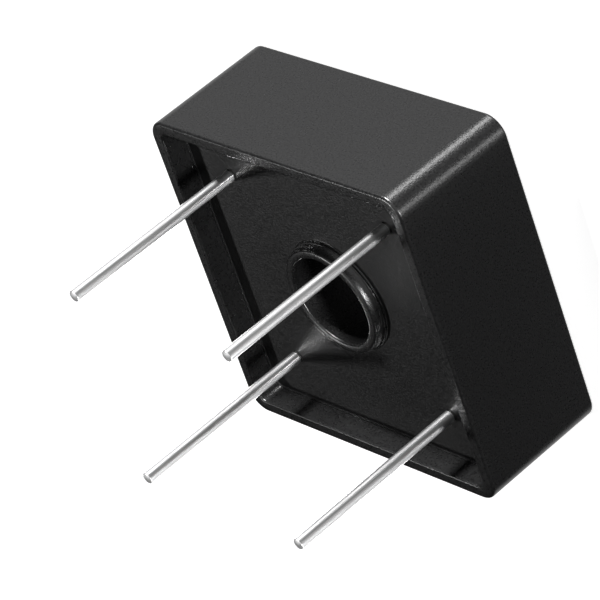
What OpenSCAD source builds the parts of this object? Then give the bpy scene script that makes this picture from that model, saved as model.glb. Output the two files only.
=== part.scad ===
// Square single-phase bridge rectifier: a moulded plastic case open on one side,
// potted with epoxy round four diode chips, with one central mounting hole and
// four round wire leads. It lies on its flat mounting face, with the leads up.
// Origin: centre of the mounting hole on the flat face. +Z runs along the leads.

/* [Case] */
// Width of the square case
body_w = 28.6; // [27:0.1:34]
// Height of the case from the flat face to the rim
body_h = 11.5; // [10.8:0.1:16]
// Radius of the four upright corners
corner_r = 1.75; // [1:0.05:4]
// Rounding along the outer edge of the flat face
face_edge_r = 0.25; // [0.1:0.05:0.6]
// Rounding along the outer edge of the rim
rim_edge_r = 0.25; // [0.1:0.05:0.5]
// Rounding along the inner edge of the rim
rim_lip_r = 0.15; // [0.05:0.05:0.4]
// Thickness of the side walls
wall_t = 1.1; // [0.9:0.1:1.4]
// Thickness of the floor behind the flat face
floor_t = 1.5; // [0.8:0.1:2]
// Radius of the upright corners inside the case
cavity_corner_r = 0.9; // [0.5:0.05:2.5]

/* [Mounting hole] */
// Diameter of the hole through the case
bore_d = 8; // [4:0.1:9]
// Rounding at both mouths of the hole
bore_edge_r = 0.12; // [0.05:0.01:0.25]
// Wall of the moulded tube round the hole
tube_wall = 1.05; // [0.9:0.05:1.5]
// How far the end of the tube lies below the rim
tube_drop = 1.05; // [0.2:0.05:1.3]
// How much the tapered end of the tube is thinner than the tube
nose_taper = 0.25; // [0.1:0.05:0.4]
// Height of the straight shoulder of the tube above the potting
shoulder_h = 0.3; // [0.1:0.05:0.5]
// Bevel round the tapered end of the tube
nose_bevel = 0.12; // [0.05:0.01:0.2]

/* [Potting] */
// How far the potting lies below the rim
potting_drop = 2.15; // [2:0.05:2.5]

/* [Leads] */
// Distance between neighbouring leads, along both sides of the square
lead_pitch = 17.9; // [17.4:0.1:19]
// Diameter of the round wire
lead_d = 1.02; // [0.6:0.01:1.4]
// How far the leads stand out past the rim
lead_reach = 14.7; // [5:0.1:40]
// Bevel round the cut end of each lead
lead_tip_bevel = 0.06; // [0.02:0.01:0.15]
// Diameter of the upset foot that a lead is soldered by
lead_foot_d = 2.6; // [1.8:0.1:3.4]
// Thickness of the upset foot
lead_foot_t = 0.6; // [0.3:0.05:0.8]
// How much the upsetting thickens the wire just above its foot
lead_swell = 0.06; // [0.02:0.01:0.12]

/* [Heat spreader] */
// Thickness of the aluminium plate on the case floor
spreader_t = 2; // [1:0.1:2.3]
// Gap between the plate and the case walls
spreader_side_gap = 0.7; // [0.3:0.1:1.5]
// Gap between the plate and the tube
spreader_tube_gap = 0.4; // [0.2:0.05:1]
// Radius of the plate's corners
spreader_corner_r = 2; // [0.5:0.1:4]
// Layer of potting that insulates the copper from the plate
insulation_t = 0.6; // [0.3:0.05:0.9]

/* [Copper straps] */
// Width of the stamped straps
strap_w = 4; // [3.4:0.1:4.4]
// Thickness of the stamped straps
strap_t = 0.8; // [0.5:0.05:1]
// How far a strap runs past the middle of a chip
strap_overrun = 2; // [1.7:0.1:2.3]
// Radius of the strap's outer corners
strap_corner_r = 0.8; // [0.2:0.1:1.6]
// Diameter of the boss pressed down from an upper strap onto a chip
boss_d = 2.4; // [1.6:0.1:2.6]
// Height of the boss
boss_h = 0.3; // [0.2:0.05:0.5]

/* [Diode chips] */
// Width of the square silicon chip
chip_w = 3.3; // [2.8:0.1:3.8]
// Thickness of the whole chip
chip_t = 0.3; // [0.2:0.02:0.4]
// Width of the glass-filled step round the anode side
moat_w = 0.3; // [0.1:0.05:0.4]
// Depth of that step
moat_depth = 0.12; // [0.05:0.01:0.16]
// Thickness of each solder layer
solder_t = 0.1; // [0.05:0.01:0.15]

/* [Hidden] */

$fn = 64;

// How far a cutting tool runs past the surface that it opens
cut_over = 1;

bore_r = bore_d / 2;
tube_r = bore_r + tube_wall;
tube_top = body_h - tube_drop;
potting_top = body_h - potting_drop;
shoulder_top = potting_top + shoulder_h;
cavity_w = body_w - 2 * wall_t;

spreader_w = cavity_w - 2 * spreader_side_gap;
spreader_hole_r = tube_r + spreader_tube_gap;

lead_r = lead_d / 2;
lead_top = body_h + lead_reach;
lead_place = lead_pitch / 2;

// The stack that carries the current, from the plate upwards
lower_strap_base = floor_t + spreader_t + insulation_t;
lower_strap_top = lower_strap_base + strap_t;
chip_base = lower_strap_top + solder_t;
chip_top = chip_base + chip_t;
boss_base = chip_top + solder_t;
upper_strap_base = boss_base + boss_h;
upper_strap_top = upper_strap_base + strap_t;

// Directions from the hole to each chip, and to each corner with a lead
side_ac1_positive = 90;
side_ac2_positive = 180;
side_negative_ac1 = 0;
side_negative_ac2 = 270;
corner_ac1 = 0;
corner_positive = 90;
corner_ac2 = 180;
corner_negative = 270;

// ---- Shapes that several pieces share ----

// A square with rounded corners
module rounded_square(w, r) {
    square([w - 2 * r, w], center = true);
    square([w, w - 2 * r], center = true);
    for (x = [-1, 1])
        for (y = [-1, 1])
            translate([x * (w / 2 - r), y * (w / 2 - r)])
                circle(r);
}

// A plate standing on z = 0, with a rounded square outline
module rounded_plate(w, h, r) {
    linear_extrude(h)
        rounded_square(w, r);
}

// Upright section of the case's outside: u runs out from an axis, v runs up.
// The lower outer edge and the upper one are rounded.
module case_section(u) {
    difference() {
        square([u, body_h]);
        translate([u - face_edge_r, 0])
            square(face_edge_r);
        translate([u - rim_edge_r, body_h - rim_edge_r])
            square(rim_edge_r);
    }
    translate([u - face_edge_r, face_edge_r])
        circle(face_edge_r);
    translate([u - rim_edge_r, body_h - rim_edge_r])
        circle(rim_edge_r);
}

// The cutter that rounds an edge: a square less a quarter of a circle.
// The wall to be rounded lies on the right, with its top at v = r.
module edge_cutter(r) {
    difference() {
        square([r, r + cut_over]);
        translate([r, 0])
            circle(r);
    }
}

// ---- Case ----

// The outside of the case: four walls swept straight, and four turned corners
module case_outside() {
    straight = body_w - 2 * corner_r;
    for (a = [0, 90, 180, 270])
        rotate([0, 0, a])
            rotate([90, 0, 0])
                linear_extrude(straight, center = true)
                    case_section(body_w / 2);
    for (a = [0, 90, 180, 270])
        rotate([0, 0, a])
            translate([straight / 2, straight / 2, 0])
                rotate_extrude(angle = 90)
                    case_section(corner_r);
}

// Rounds the inner edge of the rim, all the way round
module rim_lip_cutter() {
    straight = cavity_w - 2 * cavity_corner_r;
    base = body_h - rim_lip_r;
    for (a = [0, 90, 180, 270])
        rotate([0, 0, a])
            translate([cavity_w / 2, 0, base])
                rotate([90, 0, 0])
                    linear_extrude(straight, center = true)
                        edge_cutter(rim_lip_r);
    for (a = [0, 90, 180, 270])
        rotate([0, 0, a])
            translate([straight / 2, straight / 2, base])
                rotate_extrude(angle = 90)
                    translate([cavity_corner_r, 0])
                        edge_cutter(rim_lip_r);
}

// Half section of the tube, from the flat face to its tapered nose
module tube_section() {
    nose_r = tube_r - nose_taper;
    polygon([
        [0, 0],
        [tube_r, 0],
        [tube_r, shoulder_top],
        [nose_r, tube_top - nose_bevel],
        [nose_r - nose_bevel, tube_top],
        [0, tube_top]
    ]);
}

// Opens the hole and rounds both of its mouths
module bore_cutter() {
    translate([0, 0, -cut_over])
        cylinder(h = body_h + 2 * cut_over, r = bore_r);
    translate([0, 0, tube_top - bore_edge_r])
        rotate_extrude()
            translate([bore_r, 0])
                edge_cutter(bore_edge_r);
    translate([0, 0, bore_edge_r])
        mirror([0, 0, 1])
            rotate_extrude()
                translate([bore_r, 0])
                    edge_cutter(bore_edge_r);
}

module case() {
    color([0.13, 0.13, 0.14])
        difference() {
            union() {
                difference() {
                    case_outside();
                    translate([0, 0, floor_t])
                        rounded_plate(cavity_w, body_h, cavity_corner_r);
                    rim_lip_cutter();
                }
                rotate_extrude()
                    tube_section();
            }
            bore_cutter();
        }
}

// ---- Potting ----

module potting_compound() {
    color([0.15, 0.15, 0.16])
        difference() {
            translate([0, 0, floor_t])
                rounded_plate(cavity_w, potting_top - floor_t, cavity_corner_r);
            cylinder(h = body_h, r = tube_r);
            heat_spreader();
            positive_strap();
            negative_strap();
            ac1_strap();
            ac2_strap();
            diode_ac1_positive();
            diode_ac2_positive();
            diode_negative_ac1();
            diode_negative_ac2();
            for (side = [0, 90, 180, 270]) {
                solder_below_chip(side);
                solder_above_chip(side);
            }
            lead_solder(corner_positive, lower_strap_top);
            lead_solder(corner_negative, lower_strap_top);
            lead_solder(corner_ac1, upper_strap_top);
            lead_solder(corner_ac2, upper_strap_top);
            positive_lead();
            negative_lead();
            ac1_lead();
            ac2_lead();
        }
}

// ---- Heat spreader ----

module heat_spreader() {
    color([0.78, 0.79, 0.8])
        translate([0, 0, floor_t])
            difference() {
                rounded_plate(spreader_w, spreader_t, spreader_corner_r);
                translate([0, 0, -cut_over])
                    cylinder(h = spreader_t + 2 * cut_over, r = spreader_hole_r);
            }
}

// ---- Copper straps ----

// An L-shaped strap. Its corner lies under a lead, and its two ends reach the
// middles of the two sides that meet there.
module strap(corner, base) {
    leg = lead_place + strap_overrun + strap_w / 2;
    color([0.72, 0.45, 0.2])
        translate([0, 0, base])
            linear_extrude(strap_t)
                rotate(corner)
                    translate([lead_place + strap_w / 2, lead_place + strap_w / 2])
                        for (flip = [0, 1])
                            mirror([flip, -flip])
                                translate([-leg / 2, -strap_w / 2])
                                    strap_leg(leg);
}

// One leg of a strap, along X and centred, with rounded outer corners
module strap_leg(leg) {
    r = strap_corner_r;
    square([leg - 2 * r, strap_w], center = true);
    square([leg, strap_w - 2 * r], center = true);
    for (x = [-1, 1])
        for (y = [-1, 1])
            translate([x * (leg / 2 - r), y * (strap_w / 2 - r)])
                circle(r);
}

// The two bosses pressed down from an upper strap onto its chips
module strap_bosses(sides) {
    color([0.72, 0.45, 0.2])
        for (side = sides)
            rotate(side)
                translate([lead_place, 0, boss_base])
                    cylinder(h = boss_h, d = boss_d);
}

module positive_strap() {
    strap(corner_positive, lower_strap_base);
}

module negative_strap() {
    strap(corner_negative, lower_strap_base);
}

module ac1_strap() {
    strap(corner_ac1, upper_strap_base);
    strap_bosses([side_ac1_positive, side_negative_ac1]);
}

module ac2_strap() {
    strap(corner_ac2, upper_strap_base);
    strap_bosses([side_ac2_positive, side_negative_ac2]);
}

// ---- Diode chips ----

// A square chip with the stepped edge of its anode side up
module anode_up_chip() {
    mesa_w = chip_w - 2 * moat_w;
    step = chip_t - moat_depth;
    translate([-chip_w / 2, -chip_w / 2, 0])
        cube([chip_w, chip_w, step]);
    translate([-mesa_w / 2, -mesa_w / 2, 0])
        cube([mesa_w, mesa_w, chip_t]);
}

// A chip in its place between the straps, with its anode up or down
module chip(side, anode_up) {
    color([0.35, 0.36, 0.4])
        rotate(side)
            if (anode_up)
                translate([lead_place, 0, chip_base])
                    anode_up_chip();
            else
                translate([lead_place, 0, chip_top])
                    mirror([0, 0, 1])
                        anode_up_chip();
}

module diode_ac1_positive() {
    chip(side_ac1_positive, true);
}

module diode_ac2_positive() {
    chip(side_ac2_positive, true);
}

module diode_negative_ac1() {
    chip(side_negative_ac1, false);
}

module diode_negative_ac2() {
    chip(side_negative_ac2, false);
}

// ---- Solder ----

// A layer of solder under or over a chip, as wide as a boss
module chip_solder(side, base) {
    color([0.62, 0.63, 0.65])
        rotate(side)
            translate([lead_place, 0, base])
                cylinder(h = solder_t, d = boss_d);
}

// A layer of solder between a strap and the foot of a lead
module lead_solder(corner, base) {
    color([0.62, 0.63, 0.65])
        rotate(corner)
            translate([lead_place, lead_place, base])
                cylinder(h = solder_t, d = lead_foot_d);
}

module solder_below_chip(side) {
    chip_solder(side, lower_strap_top);
}

module solder_above_chip(side) {
    chip_solder(side, chip_top);
}

// ---- Leads ----

// A straight wire with an upset foot, standing on its layer of solder. The swell
// above the foot runs out where the wire leaves the potting.
module lead(corner, seat) {
    foot_base = seat + solder_t;
    foot_top = foot_base + lead_foot_t;
    color([0.8, 0.8, 0.82])
        rotate(corner)
            translate([lead_place, lead_place, 0])
                rotate_extrude()
                    polygon([
                        [0, foot_base],
                        [lead_foot_d / 2, foot_base],
                        [lead_foot_d / 2, foot_top],
                        [lead_r + lead_swell / 2, foot_top],
                        [lead_r, potting_top],
                        [lead_r, lead_top - lead_tip_bevel],
                        [lead_r - lead_tip_bevel, lead_top],
                        [0, lead_top]
                    ]);
}

module positive_lead() {
    lead(corner_positive, lower_strap_top);
}

module negative_lead() {
    lead(corner_negative, lower_strap_top);
}

module ac1_lead() {
    lead(corner_ac1, upper_strap_top);
}

module ac2_lead() {
    lead(corner_ac2, upper_strap_top);
}

// ---- Assembly ----

case();
potting_compound();
heat_spreader();

positive_strap();
negative_strap();
ac1_strap();
ac2_strap();

diode_ac1_positive();
diode_ac2_positive();
diode_negative_ac1();
diode_negative_ac2();

solder_below_chip(side_ac1_positive);  // solder_below_diode_ac1_positive
solder_above_chip(side_ac1_positive);  // solder_above_diode_ac1_positive
solder_below_chip(side_ac2_positive);  // solder_below_diode_ac2_positive
solder_above_chip(side_ac2_positive);  // solder_above_diode_ac2_positive
solder_below_chip(side_negative_ac1);  // solder_below_diode_negative_ac1
solder_above_chip(side_negative_ac1);  // solder_above_diode_negative_ac1
solder_below_chip(side_negative_ac2);  // solder_below_diode_negative_ac2
solder_above_chip(side_negative_ac2);  // solder_above_diode_negative_ac2

lead_solder(corner_positive, lower_strap_top);  // solder_below_positive_lead
lead_solder(corner_negative, lower_strap_top);  // solder_below_negative_lead
lead_solder(corner_ac1, upper_strap_top);  // solder_below_ac1_lead
lead_solder(corner_ac2, upper_strap_top);  // solder_below_ac2_lead

positive_lead();
negative_lead();
ac1_lead();
ac2_lead();
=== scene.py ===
import math

import bmesh
import bpy
from mathutils import Matrix, Quaternion, Vector


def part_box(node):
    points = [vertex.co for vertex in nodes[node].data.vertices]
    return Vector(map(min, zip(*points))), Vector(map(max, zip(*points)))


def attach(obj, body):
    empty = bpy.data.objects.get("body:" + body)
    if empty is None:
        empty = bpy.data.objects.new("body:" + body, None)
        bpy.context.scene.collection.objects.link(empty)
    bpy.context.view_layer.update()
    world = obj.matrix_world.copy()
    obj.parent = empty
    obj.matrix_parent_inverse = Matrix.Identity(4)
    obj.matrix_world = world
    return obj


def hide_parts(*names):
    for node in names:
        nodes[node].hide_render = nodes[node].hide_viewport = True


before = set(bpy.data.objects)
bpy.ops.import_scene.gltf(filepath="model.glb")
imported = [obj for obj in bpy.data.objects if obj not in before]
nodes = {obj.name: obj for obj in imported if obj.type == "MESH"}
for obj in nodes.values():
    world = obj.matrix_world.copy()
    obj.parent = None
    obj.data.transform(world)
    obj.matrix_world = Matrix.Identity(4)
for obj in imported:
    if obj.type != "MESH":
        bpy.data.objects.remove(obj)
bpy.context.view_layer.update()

MM = 0.001
scene = bpy.context.scene

# ---- Sizes of the bridge ----

case_lo, case_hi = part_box("case")
potting_lo, potting_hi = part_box("potting_compound")

BODY_W = case_hi.x - case_lo.x
BODY_H = case_hi.z
CORNER_R = 1.75 * MM
FACE_EDGE_R = 0.25 * MM
RIM_EDGE_R = 0.25 * MM
RIM_LIP_R = 0.15 * MM

FLOOR_T = potting_lo.z
CAVITY_W = potting_hi.x - potting_lo.x
CAVITY_CORNER_R = 0.9 * MM
POTTING_TOP = potting_hi.z

BORE_R = 4 * MM
BORE_EDGE_R = 0.2 * MM
TUBE_R = 5.05 * MM
TUBE_TOP = 10.45 * MM
SHOULDER_TOP = POTTING_TOP + 0.3 * MM
SHOULDER_LEDGE = 0.13 * MM
SHOULDER_EDGE_R = 0.11 * MM
NOSE_R = TUBE_R - 0.25 * MM
NOSE_EDGE_R = 0.18 * MM

LEAD_R = 0.51 * MM
LEAD_SWELL = 0.06 * MM
LEAD_FOOT_T = 0.6 * MM
LEAD_TIP_R = 0.06 * MM

# How far the epoxy crept up what it touches
WALL_CREEP = 0.16 * MM
TUBE_CREEP = 0.12 * MM
LEAD_CREEP = 0.1 * MM

LEADS = ["positive_lead", "negative_lead", "ac1_lead", "ac2_lead"]

# Facets. A square outline and a circle have equally many, so that they can be bridged.
CORNER_STEPS = 23
ROUND_STEPS = 4 * (CORNER_STEPS + 1)
LEAD_STEPS = 48
CREEP_STEPS = 4
EDGE_STEPS = 5
FINE_EDGE_STEPS = 3

SAME_LEVEL = 0.001 * MM
SAME_POINT = 0.0005 * MM


# ---- Shaping helpers ----

def square_loop(bm, width, corner_r, height):
    """Edges of a level square outline with round corners."""
    before = set(bm.faces)
    turned = Matrix.Translation((0, 0, height)) @ Matrix.Rotation(math.radians(45), 4, "Z")
    made = bmesh.ops.create_circle(
        bm, cap_ends=True, segments=4, radius=width / math.sqrt(2), matrix=turned)
    bmesh.ops.bevel(
        bm, geom=made["verts"], offset=corner_r, segments=CORNER_STEPS,
        profile=0.5, affect="VERTICES", material=-1)
    face = next(f for f in bm.faces if f not in before)
    edges = list(face.edges)
    bmesh.ops.delete(bm, geom=[face], context="FACES_ONLY")
    return edges


def round_loop(bm, radius, height, x=0, y=0, steps=ROUND_STEPS):
    """Edges of a level circle."""
    made = bmesh.ops.create_circle(
        bm, cap_ends=False, segments=steps, radius=radius,
        matrix=Matrix.Translation((x, y, height)))
    return list({e for v in made["verts"] for e in v.link_edges})


def join_loops(bm, loops):
    """Bridges each loop of edges to the next one.

    Two loops on one level have no up side, so the second is lifted while they are joined.
    """
    for near, far in zip(loops, loops[1:]):
        points = list({v for e in far for v in e.verts})
        level = abs(near[0].verts[0].co.z - points[0].co.z) < SAME_LEVEL
        lift = Vector((0, 0, MM if level else 0))
        bmesh.ops.translate(bm, verts=points, vec=lift)
        bmesh.ops.bridge_loops(bm, edges=near + far)
        bmesh.ops.translate(bm, verts=points, vec=-lift)


def round_over(bm, edges, radius, steps=EDGE_STEPS):
    """Rounds a loop of edges."""
    bmesh.ops.bevel(
        bm, geom=edges, offset=radius, segments=steps,
        profile=0.5, affect="EDGES", material=-1)


def creep_steps(reach):
    """Steps of a hollow fillet, from its top on the wall down to the level surface.

    Each is a distance from the wall and a height above the surface.
    """
    turns = [math.radians(90) * k / CREEP_STEPS for k in range(CREEP_STEPS + 1)]
    return [(reach * (1 - math.cos(a)), reach * (1 - math.sin(a))) for a in turns]


def finished(bm, name, finish, slot, *replaced):
    """Turns a bmesh into a smooth piece that rides on the part."""
    bmesh.ops.remove_doubles(bm, verts=bm.verts, dist=SAME_POINT)
    bmesh.ops.recalc_face_normals(bm, faces=bm.faces)
    mesh = bpy.data.meshes.new(name)
    bm.to_mesh(mesh)
    bm.free()
    mesh.shade_smooth()
    mesh.materials.append(finish)
    piece = bpy.data.objects.new(name, mesh)
    scene.collection.objects.link(piece)
    flats = piece.modifiers.new("flat_faces", "WEIGHTED_NORMAL")
    flats.mode = "FACE_AREA"
    flats.weight = 100
    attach(piece, "root")
    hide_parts(*replaced)
    return piece


# ---- Finishes ----

# Nearly all of a noise lies between these two values
NOISE_LOW = 0.3
NOISE_HIGH = 0.7

BLACK_DARK = (0.003, 0.003, 0.0031)
BLACK_LIGHT = (0.005, 0.005, 0.0051)
BLACK_SPECULAR = 0.4


class Finish:
    """A material with its shader, and short ways to add nodes to it."""

    def __init__(self, name):
        self.material = bpy.data.materials.new(name)
        self.material.use_nodes = True
        self.tree = self.material.node_tree
        self.shader = self.tree.nodes["Principled BSDF"]
        self.place = self.node("ShaderNodeTexCoord").outputs["Object"]

    def node(self, kind, **values):
        made = self.tree.nodes.new(kind)
        for key, value in values.items():
            setattr(made, key, value)
        return made

    def link(self, source, target):
        self.tree.links.new(source, target)

    def set(self, **values):
        for key, value in values.items():
            self.shader.inputs[key.replace("_", " ")].default_value = value

    def noise(self, per_mm, detail, stretch=(1, 1, 1)):
        """Noise with so many features a millimetre, stretched along the axes."""
        mapping = self.node("ShaderNodeMapping")
        mapping.inputs["Scale"].default_value = [per_mm / MM * s for s in stretch]
        self.link(self.place, mapping.inputs["Vector"])
        noise = self.node("ShaderNodeTexNoise")
        noise.inputs["Scale"].default_value = 1
        noise.inputs["Detail"].default_value = detail
        self.link(mapping.outputs["Vector"], noise.inputs["Vector"])
        return noise.outputs["Fac"]

    def spread(self, source, low, high):
        """Maps a noise onto a range of values."""
        ranged = self.node("ShaderNodeMapRange")
        ranged.inputs["From Min"].default_value = NOISE_LOW
        ranged.inputs["From Max"].default_value = NOISE_HIGH
        ranged.inputs["To Min"].default_value = low
        ranged.inputs["To Max"].default_value = high
        self.link(source, ranged.inputs["Value"])
        return ranged.outputs["Result"]

    def tint(self, source, dark, light):
        """Blends two colours by a noise."""
        mix = self.node("ShaderNodeMix", data_type="RGBA")
        mix.inputs["A"].default_value = (*dark, 1)
        mix.inputs["B"].default_value = (*light, 1)
        self.link(self.spread(source, 0, 1), mix.inputs["Factor"])
        self.link(mix.outputs["Result"], self.shader.inputs["Base Color"])

    def polish(self, source, bright, dull):
        """Varies the roughness by a noise."""
        self.link(self.spread(source, bright, dull), self.shader.inputs["Roughness"])

    def relief(self, *layers):
        """Stacks bumps, each a noise and its height in micrometres."""
        normal = None
        for source, height in layers:
            bump = self.node("ShaderNodeBump")
            bump.inputs["Strength"].default_value = 1
            bump.inputs["Distance"].default_value = height * 0.001 * MM
            self.link(source, bump.inputs["Height"])
            if normal is not None:
                self.link(normal, bump.inputs["Normal"])
            normal = bump.outputs["Normal"]
        self.link(normal, self.shader.inputs["Normal"])


def satin_black_moulding():
    """Black plastic from a mould with a fine eroded grain."""
    finish = Finish("satin_black_moulding")
    finish.set(Specular_IOR_Level=BLACK_SPECULAR)
    grain = finish.noise(7, detail=1)
    finish.tint(grain, BLACK_DARK, BLACK_LIGHT)
    finish.polish(grain, 0.26, 0.35)
    finish.relief((grain, 16))
    return finish.material


def black_epoxy():
    """Poured epoxy with fine filler in it."""
    finish = Finish("black_epoxy")
    finish.set(Specular_IOR_Level=BLACK_SPECULAR)
    filler = finish.noise(7, detail=1)
    swell = finish.noise(0.3, detail=2)
    finish.tint(filler, BLACK_DARK, BLACK_LIGHT)
    finish.polish(filler, 0.28, 0.38)
    finish.relief((swell, 4), (filler, 18))
    return finish.material


def tinned_wire():
    """Bright tin, wiped round the wire, with faint drawing lines along it."""
    finish = Finish("tinned_wire")
    finish.set(Metallic=0.95, Anisotropic=0.5, Anisotropic_Rotation=0.25)
    round_z = finish.node("ShaderNodeVectorMath", operation="CROSS_PRODUCT")
    finish.link(finish.node("ShaderNodeNewGeometry").outputs["Normal"], round_z.inputs[0])
    round_z.inputs[1].default_value = (0, 0, 1)
    finish.link(round_z.outputs["Vector"], finish.shader.inputs["Tangent"])
    lines = finish.noise(9, detail=2, stretch=(1, 1, 0.03))
    finish.tint(lines, (0.78, 0.78, 0.785), (0.86, 0.86, 0.86))
    finish.polish(lines, 0.28, 0.33)
    return finish.material


def sheared_tin():
    """The cut end of a wire: duller, with a torn grain."""
    finish = Finish("sheared_tin")
    finish.set(Metallic=1)
    torn = finish.noise(7, detail=3)
    finish.tint(torn, (0.58, 0.58, 0.585), (0.74, 0.74, 0.74))
    finish.polish(torn, 0.5, 0.62)
    finish.relief((torn, 12))
    return finish.material


def rolled_metal(name, dark, light, rough):
    """Sheet metal with rolling lines along X."""
    finish = Finish(name)
    finish.set(Metallic=1)
    lines = finish.noise(4, detail=3, stretch=(0.05, 1, 1))
    finish.tint(lines, dark, light)
    finish.polish(lines, rough, rough + 0.1)
    finish.relief((lines, 3))
    return finish.material


def soft_solder():
    """Grey solder with a frosted grain."""
    finish = Finish("soft_solder")
    finish.set(Metallic=1)
    frost = finish.noise(6, detail=4)
    finish.tint(frost, (0.48, 0.48, 0.5), (0.62, 0.62, 0.63))
    finish.polish(frost, 0.3, 0.5)
    finish.relief((frost, 8))
    return finish.material


def polished_silicon():
    """Dark blue-grey silicon."""
    finish = Finish("polished_silicon")
    finish.set(Metallic=0.3)
    lap = finish.noise(3, detail=2)
    finish.tint(lap, (0.05, 0.055, 0.07), (0.08, 0.085, 0.1))
    finish.polish(lap, 0.1, 0.2)
    return finish.material


# ---- Case ----

def moulded_case(finish):
    """One moulding: an open square box with the tube of the mounting hole."""
    bm = bmesh.new()
    foot = square_loop(bm, BODY_W, CORNER_R, 0)
    rim = square_loop(bm, BODY_W, CORNER_R, BODY_H)
    lip = square_loop(bm, CAVITY_W, CAVITY_CORNER_R, BODY_H)
    cavity_foot = square_loop(bm, CAVITY_W, CAVITY_CORNER_R, FLOOR_T)
    join_loops(bm, [foot, rim, lip, cavity_foot])

    tube_foot = round_loop(bm, TUBE_R, FLOOR_T)
    shoulder = round_loop(bm, TUBE_R, SHOULDER_TOP)
    ledge = round_loop(bm, TUBE_R - SHOULDER_LEDGE, SHOULDER_TOP)
    nose = round_loop(bm, NOSE_R, TUBE_TOP)
    mouth = round_loop(bm, BORE_R, TUBE_TOP)
    face_mouth = round_loop(bm, BORE_R, 0)
    join_loops(bm, [cavity_foot, tube_foot, shoulder, ledge, nose, mouth, face_mouth])

    face_field = square_loop(bm, BODY_W - 2 * CORNER_R, CORNER_R / 2, 0)
    join_loops(bm, [face_mouth, face_field, foot])

    round_over(bm, foot, FACE_EDGE_R)
    round_over(bm, rim, RIM_EDGE_R)
    round_over(bm, lip, RIM_LIP_R)
    round_over(bm, shoulder, SHOULDER_EDGE_R, FINE_EDGE_STEPS)
    round_over(bm, nose, NOSE_EDGE_R, FINE_EDGE_STEPS)
    round_over(bm, mouth, BORE_EDGE_R, FINE_EDGE_STEPS)
    round_over(bm, face_mouth, BORE_EDGE_R, FINE_EDGE_STEPS)
    return finished(bm, "moulded_case", finish, "case_plastic", "case")


# ---- Potting ----

def lead_centre(name):
    """Where a lead stands, in X and Y."""
    lo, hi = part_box(name)
    return (lo.x + hi.x) / 2, (lo.y + hi.y) / 2


def potting_pour(finish):
    """The epoxy fill, with its surface crept up the walls, the tube and the leads."""
    bm = bmesh.new()
    wall_foot = square_loop(bm, CAVITY_W, CAVITY_CORNER_R, FLOOR_T)
    wall = [
        square_loop(bm, CAVITY_W - 2 * inset, CAVITY_CORNER_R - inset, POTTING_TOP + rise)
        for inset, rise in creep_steps(WALL_CREEP)]
    join_loops(bm, [wall_foot, *wall])

    tube_foot = round_loop(bm, TUBE_R, FLOOR_T)
    tube = [
        round_loop(bm, TUBE_R + inset, POTTING_TOP + rise)
        for inset, rise in creep_steps(TUBE_CREEP)]
    join_loops(bm, [wall_foot, tube_foot, *tube])

    shores = [wall[-1], tube[-1]]
    for name in LEADS:
        x, y = lead_centre(name)
        foot_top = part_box(name)[0].z + LEAD_FOOT_T
        socket = round_loop(bm, LEAD_R + LEAD_SWELL, foot_top, x, y, LEAD_STEPS)
        lead = [
            round_loop(bm, LEAD_R + inset, POTTING_TOP + rise, x, y, LEAD_STEPS)
            for inset, rise in creep_steps(LEAD_CREEP)]
        join_loops(bm, [socket, *lead])
        bmesh.ops.contextual_create(bm, geom=socket)
        shores.append(lead[-1])
    bmesh.ops.triangle_fill(bm, use_beauty=True, edges=[e for shore in shores for e in shore])
    return finished(bm, "potting_pour", finish, "potting_epoxy", "potting_compound")


# ---- Leads ----

def round_lead(name, finish, tip_finish):
    """A straight round wire with an upset foot and a sheared tip."""
    lo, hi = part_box(name)
    x, y = lead_centre(name)
    foot_r = (hi.x - lo.x) / 2
    profile = [
        (0, lo.z),
        (foot_r, lo.z),
        (foot_r, lo.z + LEAD_FOOT_T),
        (LEAD_R + LEAD_SWELL, lo.z + LEAD_FOOT_T),
        (LEAD_R, POTTING_TOP),
        (LEAD_R, hi.z - LEAD_TIP_R),
        (LEAD_R - LEAD_TIP_R, hi.z),
        (0, hi.z)]
    bm = bmesh.new()
    points = [bm.verts.new((x + r, y, z)) for r, z in profile]
    edges = [bm.edges.new(pair) for pair in zip(points, points[1:])]
    bmesh.ops.spin(
        bm, geom=points + edges, cent=(x, y, 0), axis=(0, 0, 1),
        angle=math.radians(360), steps=LEAD_STEPS, use_merge=True, use_duplicate=False)
    cut_level = hi.z - LEAD_TIP_R / 4
    for face in bm.faces:
        face.material_index = int(face.calc_center_median().z > cut_level)
    wire = finished(bm, name.replace("lead", "wire"), finish, "tinned_wire", name)
    wire.data.materials.append(tip_finish)
    return wire


# ---- Pieces sealed inside ----

def dress_inner_pieces():
    """Gives the sealed pieces their metals."""
    aluminium = rolled_metal("rolled_aluminium", (0.7, 0.71, 0.72), (0.82, 0.83, 0.84), 0.25)
    copper = rolled_metal("stamped_copper", (0.62, 0.27, 0.15), (0.75, 0.36, 0.22), 0.22)
    silicon = polished_silicon()
    solder = soft_solder()
    metals = {"heat_spreader": aluminium}
    for name in nodes:
        if name.startswith("solder_"):
            metals[name] = solder
        elif name.startswith("diode_"):
            metals[name] = silicon
        elif name.endswith("_strap"):
            metals[name] = copper
    for name, metal in metals.items():
        mesh = nodes[name].data
        mesh.materials.clear()
        mesh.materials.append(metal)


# ---- Floor, light and camera ----

FLOOR_HALF_W = 3
FLOOR_GREY = 0.7
FLOOR_GLOW = 0.85
BACKDROP = 0.9
LIGHT_DISTANCE = 400 * MM
TABLE_GAP = 0.3 * MM
TABLE_GLOW = 0.6
FLAG_GAP = 6 * MM
FLAG_END = 9 * MM
FLAG_LENGTH = 60 * MM
FLAG_HEIGHT = 22 * MM


def staged(bm, name, material):
    """Turns a bmesh into a part of the stage."""
    mesh = bpy.data.meshes.new(name)
    bm.to_mesh(mesh)
    bm.free()
    mesh.materials.append(material)
    prop = bpy.data.objects.new(name, mesh)
    scene.collection.objects.link(prop)
    return prop


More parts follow.
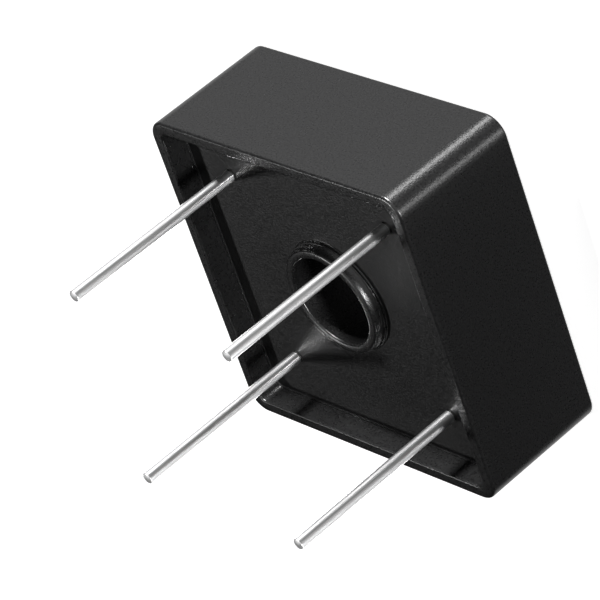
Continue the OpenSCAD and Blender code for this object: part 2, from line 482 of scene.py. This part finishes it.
def stage_finish(name, grey, glow):
    """A matt grey that also glows by itself."""
    finish = Finish(name)
    finish.set(Roughness=0.9, Specular_IOR_Level=0.1, Emission_Strength=glow)
    finish.shader.inputs["Base Color"].default_value = (grey, grey, grey, 1)
    finish.shader.inputs["Emission Color"].default_value = (1, 1, 1, 1)
    return finish


def pale_floor():
    """A large plain floor, which can be seen through from below."""
    bm = bmesh.new()
    bmesh.ops.create_grid(bm, x_segments=1, y_segments=1, size=FLOOR_HALF_W)
    finish = stage_finish("pale_floor", FLOOR_GREY, FLOOR_GLOW)
    side = finish.node("ShaderNodeNewGeometry").outputs["Backfacing"]
    clear = finish.node("ShaderNodeBsdfTransparent").outputs["BSDF"]
    one_sided = finish.node("ShaderNodeMixShader")
    finish.link(side, one_sided.inputs["Fac"])
    finish.link(finish.shader.outputs["BSDF"], one_sided.inputs[1])
    finish.link(clear, one_sided.inputs[2])
    surface = finish.tree.nodes["Material Output"].inputs["Surface"]
    finish.link(one_sided.outputs["Shader"], surface)
    floor = staged(bm, "pale_floor", finish.material)
    floor.visible_glossy = False
    floor.visible_shadow = False


def table_glow():
    """What the mounting face mirrors: the table close below it, with the hole left open."""
    bm = bmesh.new()
    outside = square_loop(bm, BODY_W, CORNER_R, -TABLE_GAP)
    inside = round_loop(bm, BORE_R, -TABLE_GAP)
    join_loops(bm, [outside, inside])
    table = staged(bm, "table_glow", stage_finish("table_glow", 0, TABLE_GLOW).material)
    table.visible_camera = False
    table.visible_diffuse = False


def direction(azimuth, elevation):
    """Unit vector from the part, by two angles in degrees.

    The azimuth is counted from +X towards +Y, and the elevation from the horizon.
    """
    turn = math.radians(azimuth)
    rise = math.radians(elevation)
    return Vector((
        math.cos(turn) * math.cos(rise),
        math.sin(turn) * math.cos(rise),
        math.sin(rise)))


def gathered(name, *pieces):
    """A collection of pieces that a light can be kept to."""
    group = bpy.data.collections.new(name)
    for piece in pieces:
        group.objects.link(piece)
    return group


def soft_light(name, azimuth, elevation, width, height, power, only=None):
    """A rectangular soft box that lights the part, or only a collection of its pieces.

    Angles are in degrees, sizes in metres and the power in watts.
    """
    data = bpy.data.lights.new(name, "AREA")
    data.shape = "RECTANGLE"
    data.size = width
    data.size_y = height
    data.energy = power
    light = bpy.data.objects.new(name, data)
    scene.collection.objects.link(light)
    out = direction(azimuth, elevation)
    light.location = out * LIGHT_DISTANCE
    light.rotation_mode = "QUATERNION"
    light.rotation_quaternion = (-out).to_track_quat("-Z", "Y")
    light.light_linking.receiver_collection = only


def black_flag():
    """A black card by the +X wall, which keeps the pale floor out of its gloss."""
    bm = bmesh.new()
    bmesh.ops.create_grid(bm, x_segments=1, y_segments=1, size=0.5)
    bmesh.ops.scale(bm, verts=bm.verts, vec=(FLAG_HEIGHT, FLAG_LENGTH, 1))
    bmesh.ops.rotate(bm, verts=bm.verts, matrix=Matrix.Rotation(math.radians(90), 3, "Y"))
    bmesh.ops.translate(
        bm, verts=bm.verts, vec=(case_hi.x + FLAG_GAP, FLAG_END - FLAG_LENGTH / 2, 0))
    flag = staged(bm, "black_flag", stage_finish("black_flag", 0, 0).material)
    flag.visible_camera = False
    flag.visible_shadow = False


def white_room(panels):
    """A world of soft round panels, seen from the part, and a plain backdrop for the camera.

    Each panel is an azimuth, an elevation, a half width and a soft edge in degrees, and a
    strength. A negative strength takes light away from the panels that it lies over.
    """
    world = bpy.data.worlds.new("white_room")
    world.use_nodes = True
    tree = world.node_tree
    view = tree.nodes.new("ShaderNodeTexCoord").outputs["Generated"]
    total = None
    for azimuth, elevation, half_width, edge, strength in panels:
        towards = tree.nodes.new("ShaderNodeVectorMath")
        towards.operation = "DOT_PRODUCT"
        towards.inputs[1].default_value = direction(azimuth, elevation)
        tree.links.new(view, towards.inputs[0])
        panel = tree.nodes.new("ShaderNodeMapRange")
        panel.interpolation_type = "SMOOTHSTEP"
        panel.inputs["From Min"].default_value = math.cos(math.radians(half_width + edge))
        panel.inputs["From Max"].default_value = math.cos(math.radians(half_width))
        panel.inputs["To Max"].default_value = strength
        tree.links.new(towards.outputs["Value"], panel.inputs["Value"])
        if total is None:
            total = panel.outputs["Result"]
            continue
        adding = tree.nodes.new("ShaderNodeMath")
        adding.operation = "ADD"
        tree.links.new(panel.outputs["Result"], adding.inputs[0])
        tree.links.new(total, adding.inputs[1])
        total = adding.outputs["Value"]
    camera_ray = tree.nodes.new("ShaderNodeLightPath").outputs["Is Camera Ray"]
    seen = tree.nodes.new("ShaderNodeMix")
    tree.links.new(camera_ray, seen.inputs["Factor"])
    tree.links.new(total, seen.inputs["A"])
    seen.inputs["B"].default_value = BACKDROP
    background = tree.nodes["Background"]
    background.inputs["Color"].default_value = (1, 1, 1, 1)
    tree.links.new(seen.outputs["Result"], background.inputs["Strength"])
    scene.world = world


def studio(dark_pieces, wires):
    """Soft boxes, each kept to the dark pieces or the wires where it says so, over a white room."""
    soft_light("key_box", -162, 55, 0.03, 0.03, 0.3)
    soft_light("inner_key", -162, 55, 0.03, 0.03, 0.4, dark_pieces)
    soft_light("left_box", 96, 6, 0.1, 0.04, 6.5, dark_pieces)
    soft_light("right_box", 9, 12, 0.08, 0.05, 2.5, dark_pieces)
    soft_light("left_streak", 95, -28, 0.12, 0.12, 0.78, dark_pieces)
    soft_light("right_streak", 9, -28, 0.1, 0.12, 0.34, dark_pieces)
    soft_light("wire_left", 105, 9, 0.3, 0.05, 4.0, wires)
    soft_light("wire_right", -35, 9, 0.45, 0.05, 3.0, wires)
    soft_light("wire_back", -141, -20, 0.3, 0.1, 1.5, wires)
    white_room([
        (0, -90, 80, 10, 0.36),
        (0, -90, 30, 16, -0.3),
        (48, -28, 6, 14, -0.3),
        (60, 64, 24, 24, 1.1),
        (180, -26, 16, 10, 0.4),
        (-135, -26, 16, 10, 0.4),
        (-90, -26, 16, 10, 0.4)])
    black_flag()
    table_glow()
    scene.view_settings.view_transform = "Standard"


# The point that the camera looks at, and where it stands, in degrees as in direction()
AIM = Vector((-1.4, 0.97, 12.06)) * MM
VIEW_AZIMUTH = 36.99
VIEW_ELEVATION = 26.87
VIEW_ROLL = -128.81
VIEW_DISTANCE = 299.6 * MM
VIEW_LENS = 233.6
SENSOR_W = 36
CLIP_NEAR = 0.01
CLIP_FAR = 20


def portrait_camera():
    """Looks down on the open side of the part, with the leads towards the lower left."""
    data = bpy.data.cameras.new("portrait_camera")
    data.lens = VIEW_LENS
    data.sensor_width = SENSOR_W
    data.clip_start = CLIP_NEAR
    data.clip_end = CLIP_FAR
    camera = bpy.data.objects.new("portrait_camera", data)
    scene.collection.objects.link(camera)
    back = direction(VIEW_AZIMUTH, VIEW_ELEVATION)
    camera.location = AIM + back * VIEW_DISTANCE
    camera.rotation_mode = "QUATERNION"
    level = (-back).to_track_quat("-Z", "Y")
    camera.rotation_quaternion = level @ Quaternion((0, 0, 1), math.radians(VIEW_ROLL))
    scene.camera = camera


# ---- The whole ----

tin = tinned_wire()
cut_tin = sheared_tin()
dark_pieces = gathered(
    "dark_pieces", moulded_case(satin_black_moulding()), potting_pour(black_epoxy()))
wires = gathered("wires", *[round_lead(lead, tin, cut_tin) for lead in LEADS])
dress_inner_pieces()
pale_floor()
studio(dark_pieces, wires)
portrait_camera()
bpy.context.view_layer.update()
